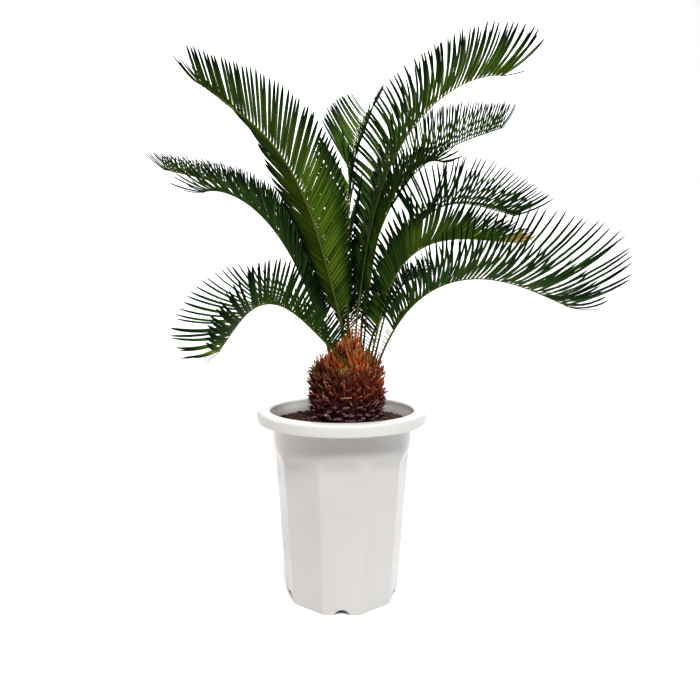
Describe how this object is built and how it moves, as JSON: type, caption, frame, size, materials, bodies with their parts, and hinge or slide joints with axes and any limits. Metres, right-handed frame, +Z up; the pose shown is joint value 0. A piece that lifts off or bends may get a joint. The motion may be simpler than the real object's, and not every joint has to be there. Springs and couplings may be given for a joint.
{
  "type": "potted sago palm",
  "caption": "Sago palm with a scaly trunk and arching feathered fronds, planted in a tall white plastic pot with a faceted body and a rolled rim.",
  "frame": {"origin": "on the ground, at the middle of the object's footprint box, which is also the pot's axis", "axes": "+Z up along the pot's axis; -Y towards the front; +X to the right seen from the front"},
  "size_m": [0.6638, 0.5388, 0.7976],
  "materials": {
    "pot_plastic": "semi-gloss white moulded plastic",
    "soil": "damp dark crumbly potting soil",
    "bark": "dry dark stubs of old leaves",
    "crown_scales": "dry orange woolly scales",
    "frond": "satin dark green leaf"
  },
  "bodies": {
    "root": {"pot": "pot_plastic", "soil": "soil", "trunk": "bark", "crown": "crown_scales", "frond_upper_left": "frond", "frond_upper_right": "frond", "frond_lower_right": "frond", "frond_lower_left": "frond", "frond_right": "frond", "frond_right_back": "frond", "frond_back_centre": "frond", "frond_upper_right_back": "frond", "frond_middle_left": "frond", "frond_left_drooping": "frond", "frond_right_drooping": "frond", "frond_back_left": "frond", "frond_low_back": "frond", "frond_low_back_right": "frond"}
  },
  "joints": []
}
